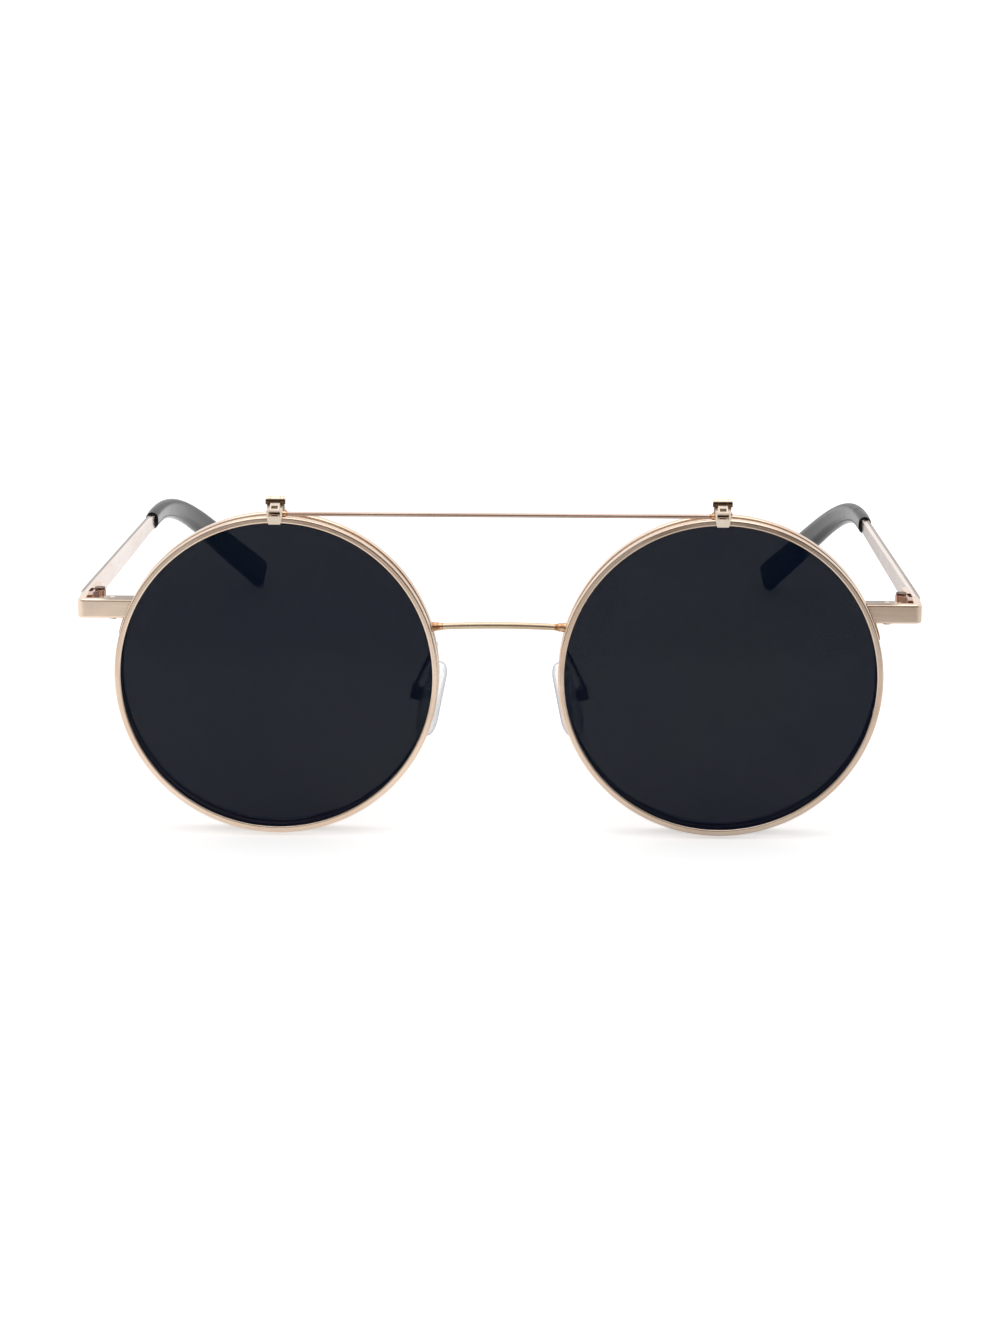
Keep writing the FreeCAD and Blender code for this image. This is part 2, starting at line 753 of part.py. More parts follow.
# Nose pad supports: X down along the pad, Y towards the wearer, Z away from the nose.
# The arm is drawn from its foot on the back of the rim, the box from the end of the arm.

padRadius = size("openingRadius") + size("rimWidth") / 2
padBack = size("padArmBack")
padDrop = size("padArmDrop")
boxOpen = size("boxBase") / 2 + size("boxDepth")
padAxis = size("boxBase") / 2 + size("boxDepth") / 2


def arm_rotation():
    return Rotation(Vector(0, 1, 0), 90 - size("padArmTiltAngle").value)


def arm_placement():
    height = size("padArmHeight")
    foot = lensCentre - square_root(padRadius * padRadius - height * height)
    return Placement(Vector(foot.value, halfDepth.value, height.value), arm_rotation())


def box_placement():
    turn = Rotation(Vector(0, 1, 0), size("boxTurnAngle").value)
    return arm_placement().multiply(Placement(Vector(padDrop.value, padBack.value, 0), turn))


def pad_arm(label, box):
    body = new_body(label + "_wire")
    bend = size("padArmBend")
    profile = new_sketch(body, "XZ_Plane")
    draw_circle(profile, zero, zero, size("padArmWire") / 2)
    spine = new_sketch(body, "XY_Plane")
    end = padDrop + size("padArmSink")
    circle = Part.Circle(Vector(bend.value, (padBack - bend).value, 0), Vector(0, 0, 1), bend.value)
    first = spine.addGeometry(Part.LineSegment(Vector(0, 0, 0), Vector(0, (padBack - bend).value, 0)))
    arc = spine.addGeometry(Part.ArcOfCircle(circle, math.pi / 2, math.pi))
    last = spine.addGeometry(Part.LineSegment(Vector(bend.value, padBack.value, 0),
                                              Vector(end.value, padBack.value, 0)))
    fix_point(spine, first, 1, zero, zero)
    fix_point(spine, first, 2, zero, padBack - bend)
    fix_point(spine, last, 2, end, padBack)
    spine.addConstraint(Sketcher.Constraint("Tangent", first, 2, arc, 2))
    spine.addConstraint(Sketcher.Constraint("Tangent", arc, 1, last, 1))
    bind(spine, Sketcher.Constraint("Radius", arc, bend.value), bend.text)
    wire = body.newObject("PartDesign::AdditivePipe", label + "_pipe")
    wire.Profile = profile
    wire.Spine = (spine, ["Edge1", "Edge2", "Edge3"])
    body.Placement = arm_placement()
    return cut_by(label, body, box)


def cut_by(label, body, tool):
    piece = doc.addObject("Part::Cut", label)
    piece.Label = label
    piece.Base = body
    piece.Tool = tool
    doc.recompute()
    return piece


def pad_box(label):
    body = new_body(label)
    wide = size("boxWidth") / 2
    slot = size("boxSlot") / 2
    inside = -size("boxBase") / 2
    pad_between(body, "YZ_Plane", zero, size("boxLength"), lambda sketch: draw_polygon(sketch, [
        (-wide, -boxOpen), (-slot, -boxOpen), (-slot, inside), (slot, inside),
        (slot, -boxOpen), (wide, -boxOpen), (wide, -inside), (-wide, -inside)]))
    cut_through(body, "XZ_Plane", lambda sketch: draw_circle(
        sketch, size("boxLength") / 2, -padAxis, size("padScrew") / 2))
    body.Placement = box_placement()
    return body


def pad_placement():
    # The pad's own frame lies on the pad screw's axis.
    axis = Vector(size("boxLength").value / 2, 0, -padAxis.value)
    return box_placement().multiply(Placement(axis, Rotation()))


def pad_screw(label):
    body = screw(label, size("padScrew"), size("boxWidth"), size("padHead"), size("padHeadHeight"))
    turn = Placement(Vector(0, size("boxWidth").value / 2, 0), Rotation(Vector(1, 0, 0), -90))
    body.Placement = pad_placement().multiply(turn)
    return body


def pad_insert(label):
    body = new_body(label)
    half = size("boxSlot") / 2 - size("lugSideGap")
    around = size("lugRound")
    reach = size("lugReach")
    pad_between(body, "XZ_Plane", -half, half, lambda sketch: draw_circle(sketch, zero, zero, around))
    pad_between(body, "XZ_Plane", -half, half, lambda sketch: draw_rectangle(
        sketch, -around, -reach, around, zero))
    long = size("flangeLength") / 2
    wide = size("flangeWidth") / 2
    pad_between(body, "XY_Plane", -reach - size("flangeThickness"), -reach, lambda sketch: draw_rectangle(
        sketch, -long, -wide, long, wide))
    cut_through(body, "XZ_Plane", lambda sketch: draw_circle(
        sketch, zero, zero, size("padScrew") / 2 + size("padFit")))
    body.Placement = pad_placement()
    return body


def draw_drop(sketch):
    # A drop of two circles and the two lines that touch them both.
    lower, upper = size("padLower"), -size("padUpper")
    big, small = size("padLowerRadius"), size("padUpperRadius")
    lean = math.asin((big - small).value / (lower - upper).value)
    touches = []
    for middle, radius in ((lower, big), (upper, small)):
        across = radius.value * math.cos(lean)
        touches.append(Vector(middle.value - radius.value * math.sin(lean), across, 0))
    ends = [(touches[0], touches[1]), (Vector(touches[1].x, -touches[1].y, 0),
                                       Vector(touches[0].x, -touches[0].y, 0))]
    lines = [sketch.addGeometry(Part.LineSegment(start, end)) for start, end in ends]
    quarter = math.pi / 2 + lean
    arcs = []
    for middle, radius, low, high in ((upper, small, quarter, 2 * math.pi - quarter),
                                      (lower, big, -quarter, quarter)):
        circle = Part.Circle(Vector(middle.value, 0, 0), Vector(0, 0, 1), radius.value)
        arcs.append(sketch.addGeometry(Part.ArcOfCircle(circle, low, high)))
        fix_point(sketch, arcs[-1], 3, middle, zero)
        bind(sketch, Sketcher.Constraint("Radius", arcs[-1], radius.value), radius.text)
    for first, firstEnd, second, secondEnd in ((lines[0], 2, arcs[0], 1), (arcs[0], 2, lines[1], 1),
                                               (lines[1], 2, arcs[1], 1), (arcs[1], 2, lines[0], 1)):
        sketch.addConstraint(Sketcher.Constraint("Tangent", first, firstEnd, second, secondEnd))


def nose_pad(label, insert):
    body = new_body(label + "_drop")
    block = pad_between(body, "XY_Plane", -size("padThickness"), zero, draw_drop)
    round_edges(body, block, size("padRound"), lambda edge: near(edge.BoundBox.ZLength, 0))
    seat = Vector(0, 0, -size("padSeat").value)
    splay = Rotation(Vector(1, 0, 0), size("padSplayAngle").value)
    body.Placement = pad_placement().multiply(Placement(seat, splay))
    return cut_by(label, body, insert)


# Assembly of the centre pieces and the right-hand side

clipDepth = -size("clipGap")
centrePieces = [bridge("bridge"), top_bar("top_bar")]
baseRim = split_rim("base_rim_right", zero)
halfSlit = size("lockSlit") / 2
plateBack = size("endPlate") - size("endFront")
lockScrew = screw("rim_lock_screw_right", size("lockScrew"), size("endHeight"), size("lockHead"),
                  size("lockHeadHeight"))
place(lockScrew, lockOuter - size("lockScrewInset"), size("lockDepth") / 2, endLow,
      Rotation(Vector(1, 0, 0), 180))
hingeScrew = screw("hinge_screw_right", size("hingeScrew"), size("endHeight"), size("hingeHead"),
                   size("hingeHeadHeight"))
place(hingeScrew, hingeX, size("hingeBack"), endHigh)
padInsert = pad_insert("pad_insert_right")
padBox = pad_box("pad_box_right")
rightPieces = [
    baseRim,
    lens("clear_lens_right", zero),
    end_piece("end_piece_right"),
    rim_lock("rim_lock_upper_right", size("endCentre") + halfSlit, endHigh, plateBack),
    rim_lock("rim_lock_lower_right", endLow, size("endCentre") - halfSlit, plateBack + size("lockGap")),
    lockScrew,
    front_hinge("front_hinge_right"),
    hingeScrew,
    rear_hinge("rear_hinge_right"),
    temple_bar("temple_bar_right"),
    temple_tip("temple_tip_right"),
    flip_post("flip_post_right"),
    flip_pin("flip_pin_right"),
    rim("clip_rim_right", clipDepth),
    lens("dark_lens_right", clipDepth),
    flip_arm("flip_arm_right"),
    pad_arm("pad_arm_right", padBox),
    padBox,
    pad_screw("pad_screw_right"),
    padInsert,
    nose_pad("nose_pad_right", padInsert),
]
doc.recompute()


# Standing pose: the front leans back until the base rims and the temple tips touch the table

steepestLean = 45.0


def leaned(shape, lean):
    turned = shape.copy()
    back = Placement(Vector(), Rotation(Vector(1, 0, 0), -lean))
    turned.Placement = back.multiply(turned.Placement)
    return turned.optimalBoundingBox(False)


def standing_lean():
    tip = doc.getObject("temple_tip_right").Shape
    flat, steep = 0.0, steepestLean
    while steep - flat > sameShare * steepestLean:
        lean = (flat + steep) / 2
        if leaned(tip, lean).ZMin > leaned(baseRim.Shape, lean).ZMin:
            flat = lean
        else:
            steep = lean
    return flat


leanAngle = standing_lean()
leanBack = Placement(Vector(), Rotation(Vector(1, 0, 0), -leanAngle))
standing = FreeCAD.BoundBox()
for piece in centrePieces + rightPieces:
    standing.add(leaned(piece.Shape, leanAngle))
ground = Placement(Vector(0, -(standing.YMin + standing.YMax) / 2, -standing.ZMin), Rotation())
stand = ground.multiply(leanBack)
print("lean back %.3f degrees, ground placement" % leanAngle, ground.Base)

for piece in centrePieces + rightPieces:
    if piece.TypeId == "Part::Cut":
        piece.Base.Placement = stand.multiply(piece.Base.Placement)
    else:
        piece.Placement = stand.multiply(piece.Placement)
doc.recompute()

# The left-hand side is the mirror image

leftPieces = []
for piece in rightPieces:
    name = piece.Label.replace("_right", "_left")
    mirrored = doc.addObject("Part::Mirroring", name)
    mirrored.Label = name
    mirrored.Source = piece
    mirrored.Normal = Vector(1, 0, 0)
    leftPieces.append(mirrored)
doc.recompute()

for item in doc.Objects:
    if "Invalid" in item.State or "Error" in item.State:
        raise ValueError("%s did not build: %s" % (item.Label, item.State))
pieces = centrePieces + rightPieces + leftPieces
for piece in pieces:
    if piece.Shape.isNull() or not piece.Shape.isValid() or len(piece.Shape.Solids) != 1:
        raise ValueError("%s is not one valid solid" % piece.Label)

os.makedirs("parts", exist_ok=True)
for piece in pieces:
    piece.Shape.exportStep("parts/%s.step" % piece.Label)
print("%d pieces written" % len(pieces))
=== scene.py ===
import bmesh
import bpy
import json
import math
from mathutils import Matrix, Vector


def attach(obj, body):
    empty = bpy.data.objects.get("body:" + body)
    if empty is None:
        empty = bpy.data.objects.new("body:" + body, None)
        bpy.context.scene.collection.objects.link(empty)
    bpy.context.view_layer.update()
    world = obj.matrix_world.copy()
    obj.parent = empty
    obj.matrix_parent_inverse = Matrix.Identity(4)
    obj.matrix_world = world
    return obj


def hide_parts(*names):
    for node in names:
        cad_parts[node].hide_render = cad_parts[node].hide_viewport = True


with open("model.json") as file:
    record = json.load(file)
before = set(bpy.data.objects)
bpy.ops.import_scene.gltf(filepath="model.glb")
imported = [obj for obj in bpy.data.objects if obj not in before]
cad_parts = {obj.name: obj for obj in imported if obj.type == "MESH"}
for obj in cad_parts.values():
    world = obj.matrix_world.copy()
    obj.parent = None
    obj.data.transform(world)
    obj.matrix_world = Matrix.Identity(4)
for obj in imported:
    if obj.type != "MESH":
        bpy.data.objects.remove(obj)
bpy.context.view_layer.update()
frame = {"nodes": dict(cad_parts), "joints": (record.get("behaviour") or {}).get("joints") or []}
print("frame loaded with", len(frame["nodes"]), "CAD nodes")

mm = 0.001
quarterTurn = 90


def turned(degrees, axis):
    return Matrix.Rotation(math.radians(degrees), 4, axis)


def moved(x, y, z):
    return Matrix.Translation(Vector((x, y, z)) * mm)


# The front is measured upright, in mm from the middle between the base rims, and stands as the CAD does
front = {"lensCentre": 36.5, "rimOuter": 26.7, "rimHalfDepth": 0.85, "clipGap": 3.8,
         "flipForward": 1.9, "flipHeight": 28.9}
joints = {joint["name"]: joint for joint in frame["joints"]}
foldAxis = joints["fold_right"]["axis"]
lean = math.atan2(foldAxis[1], foldAxis[2])
leanBack = Matrix.Rotation(-lean, 4, "X")
flipPoint = Vector(joints["flip_up"]["pos_m"])
upright = Matrix.Translation(flipPoint) @ leanBack @ moved(0, front["flipForward"], -front["flipHeight"])
toUpright = upright.inverted()
mirrorX = Matrix.Scale(-1, 4, (1, 0, 0))


# Shader maths: a reading is a socket that takes part in plain expressions
class Reading:
    def __init__(self, recipe, socket):
        self.recipe = recipe
        self.socket = socket

    def maths(self, operation, first, second=0.0):
        return self.recipe.node("ShaderNodeMath", {"operation": operation}, {0: first, 1: second})

    def __add__(self, other):
        return self.maths("ADD", self, other)

    def __radd__(self, other):
        return self.maths("ADD", other, self)

    def __sub__(self, other):
        return self.maths("SUBTRACT", self, other)

    def __rsub__(self, other):
        return self.maths("SUBTRACT", other, self)

    def __mul__(self, other):
        return self.maths("MULTIPLY", self, other)

    def larger(self, other):
        return self.maths("MAXIMUM", self, other)

    def angleFrom(self, other):
        return self.maths("ARCTAN2", self, other)

    def root(self):
        return self.maths("SQRT", self)

    def size(self):
        return self.maths("ABSOLUTE", self)


class Recipe:
    edgeSamples = 4

    def __init__(self, owner):
        owner.use_nodes = True
        self.tree = owner.node_tree
        self.tree.nodes.clear()

    def node(self, kind, settings=None, sockets=None, output=0):
        made = self.tree.nodes.new(kind)
        for key, value in (settings or {}).items():
            setattr(made, key, value)
        for key, value in (sockets or {}).items():
            if isinstance(value, Reading):
                self.tree.links.new(value.socket, made.inputs[key])
            else:
                made.inputs[key].default_value = value
        return Reading(self, made.outputs[output]) if made.outputs else None

    def outputs(self, reading, names):
        # several outputs of the node that a reading comes from
        return [Reading(self, reading.socket.node.outputs[name]) for name in names]

    def parts(self, vector):
        return self.outputs(self.node("ShaderNodeSeparateXYZ", {}, {"Vector": vector}), "XYZ")

    def rays(self):
        # what kind of ray arrives: from the camera, from a mirror, through glass
        return self.outputs(self.node("ShaderNodeLightPath"),
                            ("Is Camera Ray", "Is Glossy Ray", "Is Transmission Ray"))

    def between(self, value, low, high, toLow=0.0, toHigh=1.0):
        return self.node("ShaderNodeMapRange", {"interpolation_type": "SMOOTHSTEP", "clamp": True},
                         {"Value": value, "From Min": low, "From Max": high,
                          "To Min": toLow, "To Max": toHigh})

    def noise(self, place, look):
        # a look with a low and a high value gives patches, any other one a smooth cloud
        cloud = self.node("ShaderNodeTexNoise", {},
                          {"Vector": place, "Scale": look["scale"], "Detail": look["detail"]})
        return self.between(cloud, look["low"], look["high"]) if "low" in look else cloud

    def mixed(self, share, first, second):
        # inputs 6 and 7 and output 2 are the ones for colours
        return self.node("ShaderNodeMix", {"data_type": "RGBA"}, {0: share, 6: first, 7: second}, 2)

    def objectPlace(self):
        return self.node("ShaderNodeTexCoord", output="Object")

    def uprightPlace(self):
        return self.node("ShaderNodeMapping", {}, {"Vector": self.objectPlace(),
                                                   "Location": toUpright.to_translation(),
                                                   "Rotation": toUpright.to_euler()})

    def upFacing(self):
        return self.parts(self.node("ShaderNodeTexCoord", output="Normal"))[2]

    def softEdges(self, look):
        return self.node("ShaderNodeBevel", {"samples": self.edgeSamples}, {"Radius": look["edge"]})

    def bumped(self, height, look, under=None):
        sockets = {"Strength": look["bump"], "Distance": look["bumpHeight"], "Height": height}
        if under is not None:
            sockets["Normal"] = under
        return self.node("ShaderNodeBump", {}, sockets)

    def surface(self, sockets):
        shader = self.node("ShaderNodeBsdfPrincipled", {}, sockets)
        self.node("ShaderNodeOutputMaterial", {}, {"Surface": shader})


def newFinish(name):
    material = bpy.data.materials.new(name)
    return material, Recipe(material)


# Rose gold plating, with draw lines that run the way the piece was made
goldLook = {
    "light": (0.92, 0.735, 0.59, 1), "deep": (0.85, 0.64, 0.49, 1),
    "worn": (0.95, 0.83, 0.70, 1), "burnt": (0.10, 0.05, 0.025, 1),
    "tone": {"scale": 70, "detail": 3.0, "low": 0.35, "high": 0.65},
    "line": {"scale": 3200, "detail": 1.0, "low": 0.3, "high": 0.7},
    "grain": {"scale": 5200, "detail": 1.0},
    "smudge": {"scale": 240, "detail": 4.0, "low": 0.45, "high": 0.7},
    "rub": {"scale": 900, "detail": 2.0, "low": 0.35, "high": 0.6},
    "rubFrom": 0.03, "rubTo": 0.25,  # how far an edge turns before it is rubbed
    "heatHalf": 0.9, "heatFade": 1.3, "heatFrom": 26.0, "heatTo": 26.4,  # mm
    "topFrom": 0.6, "topTo": 0.9, "rubShare": 0.8, "heatShare": 0.9, "topShare": 0.85,
    "lineStretch": 0.03, "ringStretch": 0.0012,
    "roughness": 0.17, "lineRoughness": 0.05, "smudgeRoughness": 0.06, "rubPolish": 0.05,
    "edge": 0.00012, "bump": 0.03, "bumpHeight": 0.00002, "lineBump": 0.7, "grainBump": 0.3}
# darker copies of the gold for the top bar and the bridge: painted shade, for the dim room these thin wires
# reflect
barLook = dict(goldLook, light=(0.58, 0.44, 0.36, 1), deep=(0.50, 0.36, 0.29, 1), roughness=0.24)
bridgeLook = dict(goldLook, light=(0.70, 0.56, 0.41, 1), deep=(0.58, 0.44, 0.30, 1), roughness=0.22)
# a paler copy of the gold for the temples: painted light, for the white their inner faces reflect; its top
# colour is a painted shade on the upper edge
templeLook = dict(goldLook, light=(0.94, 0.82, 0.76, 1), deep=(0.89, 0.74, 0.67, 1),
                  top=(0.20, 0.145, 0.115, 1), topFull=69.55, topNone=69.2, topSlope=0.0595)
# a darker, redder copy of the gold for the temple hinges: painted shade, the brown inside the hinge's arch
# spread over it
knuckleLook = dict(goldLook, light=(0.66, 0.43, 0.34, 1), deep=(0.50, 0.28, 0.21, 1))
# on the end pieces the top colour is a painted shade along the upper edge near the rim
endLook = dict(goldLook, top=(0.17, 0.12, 0.09, 1), topFull=64.0, topNone=66.5, topSlope=0.0)


def goldFinish(name, lines, look):
    material, recipe = newFinish(name)
    place = recipe.uprightPlace()
    x, y, z = recipe.parts(place)
    if lines == "ring":
        # lines follow the hoop: they change across it and hardly along it
        aside = x.size() - front["lensCentre"] * mm
        drawn = [(aside * aside + z * z).root(), y, z.angleFrom(aside) * look["ringStretch"]]
    elif lines == "across":
        drawn = [x * look["lineStretch"], y, z]
    else:
        drawn = [x, y * look["lineStretch"], z]
    drawn = recipe.node("ShaderNodeCombineXYZ", {}, dict(zip("XYZ", drawn)))
    tone = recipe.noise(place, look["tone"])
    line = recipe.noise(drawn, look["line"])
    grain = recipe.noise(place, look["grain"])
    smudge = recipe.noise(place, look["smudge"])
    softNormal = recipe.softEdges(look)
    flatNormal = recipe.node("ShaderNodeNewGeometry", output="Normal")
    alike = recipe.node("ShaderNodeVectorMath", {"operation": "DOT_PRODUCT"},
                        {0: softNormal, 1: flatNormal}, "Value")
    wear = recipe.between(1 - alike, look["rubFrom"], look["rubTo"]) * recipe.noise(place, look["rub"])
    colour = recipe.mixed(tone, look["light"], look["deep"])
    if lines == "ring":
        # painted shade: the hoops are painted dark brown under the flip hinges, where they are seen in shade
        # through the slot in each arm's foot
        heat = recipe.between(aside.size(), look["heatHalf"] * mm, look["heatFade"] * mm, 1.0, 0.0)
        heat = heat * recipe.between(z, look["heatFrom"] * mm, look["heatTo"] * mm)
        colour = recipe.mixed(heat * look["heatShare"], colour, look["burnt"])
    colour = recipe.mixed(wear * look["rubShare"], colour, look["worn"])
    if "top" in look:
        # painted shade: the upper edge is painted dark brown, on a temple its outer half, on an end piece the
        # part near the rim
        across = x.size() + y * look["topSlope"]
        dull = recipe.between(across, look["topFull"] * mm, look["topNone"] * mm, 1.0, 0.0)
        dull = dull * recipe.between(recipe.upFacing(), look["topFrom"], look["topTo"])
        colour = recipe.mixed(dull * look["topShare"], colour, look["top"])
    normal = recipe.bumped(line * look["lineBump"] + grain * look["grainBump"], look, softNormal)
    roughness = look["roughness"] + line * look["lineRoughness"] + smudge * look["smudgeRoughness"]
    recipe.surface({"Base Color": colour, "Metallic": 1.0, "Roughness": roughness - wear * look["rubPolish"],
                    "Normal": normal})
    return material


# Brazed joints: redder and duller where the heat was
brazeLook = {
    "hot": (0.44, 0.19, 0.075, 1), "clean": (0.74, 0.49, 0.31, 1),
    "heat": {"scale": 1500, "detail": 4.0, "low": 0.35, "high": 0.62},
    "pits": {"scale": 4200, "detail": 3.0},
    "roughness": 0.24, "hotRoughness": 0.16, "bump": 0.35, "bumpHeight": 0.00004}


def brazeFinish(look):
    material, recipe = newFinish("brazedGold")
    place = recipe.objectPlace()
    heat = recipe.noise(place, look["heat"])
    normal = recipe.bumped(recipe.noise(place, look["pits"]), look)
    recipe.surface({"Base Color": recipe.mixed(heat, look["clean"], look["hot"]), "Metallic": 1.0,
                    "Roughness": look["roughness"] + heat * look["hotRoughness"], "Normal": normal})
    return material


# Flip hinges: satin plating, and knuckles painted bright on top and dark brown below, a painted reflection of
# the white ceiling and the dim room in front
hingeLook = {
    "satin": (1.0, 0.87, 0.73, 1), "satinAlso": (0.98, 0.82, 0.67, 1), "rubbed": (0.84, 0.71, 0.54, 1),
    "browned": (0.10, 0.060, 0.034, 1), "brownedAlso": (0.22, 0.14, 0.085, 1),
    "slot": (0.34, 0.245, 0.15, 1),
    "tone": {"scale": 420, "detail": 3.0, "low": 0.35, "high": 0.65},
    "grain": {"scale": 5200, "detail": 2.0},
    "knuckle": 0.86, "knuckleFade": 0.9116, "rubbedFrom": 0.45, "rubbedTo": 0.75,
    "slotMiddle": -4.2, "slotHalf": 0.52, "slotFade": 0.56,
    "metallic": 0.12, "roughness": 0.42, "knuckleRoughness": 0.2, "toneRoughness": 0.06,
    "edge": 0.0001, "bump": 0.06, "bumpHeight": 0.00002}


def hingeFinish(look):
    material, recipe = newFinish("hingeGold")
    place = recipe.uprightPlace()
    x, y, z = recipe.parts(place)
    ahead = y + front["flipForward"] * mm
    above = z - front["flipHeight"] * mm
    away = (ahead * ahead + above * above).root()
    knuckle = recipe.between(away, look["knuckle"] * mm, look["knuckleFade"] * mm, 1.0, 0.0)
    tone = recipe.noise(place, look["tone"])
    normal = recipe.bumped(recipe.noise(place, look["grain"]), look, recipe.softEdges(look))
    satin = recipe.mixed(tone, look["satin"], look["satinAlso"])
    # painted shade: inside the slot of the arm's foot the plating is painted brown, the shade in the slot
    aside = (x.size() - front["lensCentre"] * mm).size()
    deep = (y - look["slotMiddle"] * mm).size()
    inSlot = recipe.between(aside.larger(deep), look["slotHalf"] * mm, look["slotFade"] * mm, 1.0, 0.0)
    satin = recipe.mixed(inSlot, satin, look["slot"])
    # painted reflection: the barrel is dark brown where it faces front and down, bright where it faces up
    brown = recipe.mixed(tone, look["browned"], look["brownedAlso"])
    onTop = recipe.between(recipe.upFacing(), look["rubbedFrom"], look["rubbedTo"])
    barrel = recipe.mixed(onTop, brown, look["rubbed"])
    roughness = look["roughness"] + knuckle * (look["knuckleRoughness"] - look["roughness"])
    recipe.surface({"Base Color": recipe.mixed(knuckle, satin, barrel),
                    "Metallic": look["metallic"] + knuckle * (1 - look["metallic"]),
                    "Roughness": roughness + tone * look["toneRoughness"], "Normal": normal})
    return material


# Screws: browned steel with turning marks
screwLook = {
    "dark": (0.13, 0.055, 0.04, 1), "bright": (0.38, 0.25, 0.19, 1),
    "patch": {"scale": 900, "detail": 3.0, "low": 0.4, "high": 0.65},
    "marks": {"scale": 6000, "detail": 1.0},
    "roughness": 0.28, "patchRoughness": 0.15, "edge": 0.00008, "bump": 0.2, "bumpHeight": 0.00002}


def screwFinish(look):
    material, recipe = newFinish("brownedSteel")
    place = recipe.uprightPlace()
    patch = recipe.noise(place, look["patch"])
    normal = recipe.bumped(recipe.noise(place, look["marks"]), look, recipe.softEdges(look))
    recipe.surface({"Base Color": recipe.mixed(patch, look["dark"], look["bright"]), "Metallic": 1.0,
                    "Roughness": look["roughness"] + patch * look["patchRoughness"], "Normal": normal})
    return material


# Lenses: a dark grey-blue tint in front, clear plates behind
darkLook = {
    "tint": (0.0020, 0.0045, 0.0165, 1), "tintAlso": (0.0018, 0.0058, 0.0145, 1),
    "cloud": {"scale": 38, "detail": 2.0, "low": 0.35, "high": 0.65},
    "smudge": {"scale": 120, "detail": 4.0, "low": 0.5, "high": 0.75},
    "alpha": 0.873, "cloudAlpha": 0.004, "specular": 0.035, "roughness": 0.14, "smudgeRoughness": 0.05}


def darkLensFinish(look):
    material, recipe = newFinish("darkLens")
    place = recipe.uprightPlace()
    cloud = recipe.noise(place, look["cloud"])
    smudge = recipe.noise(place, look["smudge"])
    recipe.surface({"Base Color": recipe.mixed(cloud, look["tint"], look["tintAlso"]),
                    "Roughness": look["roughness"] + smudge * look["smudgeRoughness"],
                    "Alpha": look["alpha"] - cloud * look["cloudAlpha"],
                    "Specular IOR Level": look["specular"]})
    return material


# the low index stands for a coating against reflections
clearLook = {
    "tint": (0.90, 0.925, 0.92, 1), "tintAlso": (0.87, 0.90, 0.895, 1),
    "cloud": {"scale": 45, "detail": 2.0}, "roughness": 0.0, "index": 1.2}


def clearLensFinish(look):
    material, recipe = newFinish("clearLens")
    cloud = recipe.noise(recipe.uprightPlace(), look["cloud"])
    recipe.surface({"Base Color": recipe.mixed(cloud, look["tint"], look["tintAlso"]),
                    "Roughness": look["roughness"], "Transmission Weight": 1.0, "IOR": look["index"]})
    return material


# Temple tips: glossy black plastic, a little brown in the depth
tipLook = {
    "black": (0.0045, 0.0045, 0.0055, 1), "brown": (0.011, 0.0085, 0.0075, 1),
    "swirl": {"scale": 150, "detail": 3.0, "low": 0.5, "high": 0.75},
    "handling": {"scale": 320, "detail": 4.0, "low": 0.45, "high": 0.7},
    "ripple": {"scale": 420, "detail": 1.0},
    "specular": 0.18, "sheen": 0.7, "sheenRoughness": 0.1, "sheenFull": 0.1, "sheenNone": 0.7,
    "roughness": 0.2, "handlingRoughness": 0.08, "bump": 0.06, "bumpHeight": 0.0001}


def tipFinish(look):
    material, recipe = newFinish("blackTip")
    place = recipe.uprightPlace()
    swirl = recipe.noise(place, look["swirl"])
    handling = recipe.noise(place, look["handling"])
    # the polish is left on the sides
    side = recipe.between(recipe.upFacing(), look["sheenFull"], look["sheenNone"], 1.0, 0.0)
    normal = recipe.bumped(recipe.noise(place, look["ripple"]), look)
    recipe.surface({"Base Color": recipe.mixed(swirl, look["black"], look["brown"]),
                    "Roughness": look["roughness"] + handling * look["handlingRoughness"],
                    "Specular IOR Level": look["specular"], "Coat Weight": side * look["sheen"],
                    "Coat Roughness": look["sheenRoughness"], "Normal": normal})
    return material


# Nose pads: clear silicone over a hard clear core, with a painted grey shade towards the outline
siliconeLook = {
    "clear": (0.93, 0.93, 0.95, 1), "milky": (0.86, 0.86, 0.89, 1), "rim": (0.36, 0.33, 0.41, 1),
    "cloud": {"scale": 380, "detail": 2.0, "low": 0.35, "high": 0.7},
    "skin": {"scale": 2600, "detail": 2.0},
    "blend": 0.5, "rimFrom": 0.42, "rimTo": 0.86,
    "alpha": 0.06, "cloudAlpha": 0.04, "rimAlpha": 0.6, "specular": 0.3,
    "roughness": 0.25, "cloudRoughness": 0.1, "bump": 0.08, "bumpHeight": 0.00005}


def siliconeFinish(look):
    material, recipe = newFinish("clearSilicone")
    place = recipe.uprightPlace()
    cloud = recipe.noise(place, look["cloud"])
    facing = recipe.node("ShaderNodeLayerWeight", {}, {"Blend": look["blend"]}, "Facing")
    # painted shade: grey and more opaque where the surface turns away from the view
    rim = recipe.between(facing, look["rimFrom"], look["rimTo"])
    normal = recipe.bumped(recipe.noise(place, look["skin"]), look)
    colour = recipe.mixed(cloud, look["clear"], look["milky"])
    recipe.surface({"Base Color": recipe.mixed(rim, colour, look["rim"]),
                    "Roughness": look["roughness"] + cloud * look["cloudRoughness"],
                    "Alpha": look["alpha"] + cloud * look["cloudAlpha"] + rim * look["rimAlpha"],
                    "Specular IOR Level": look["specular"], "Normal": normal})
    return material


coreLook = {
    "clear": (0.90, 0.90, 0.91, 1), "cloudy": (0.82, 0.82, 0.84, 1),
    "cloud": {"scale": 900, "detail": 3.0, "low": 0.35, "high": 0.7},
    "alpha": 0.22, "cloudAlpha": 0.08, "roughness": 0.14, "cloudRoughness": 0.08}


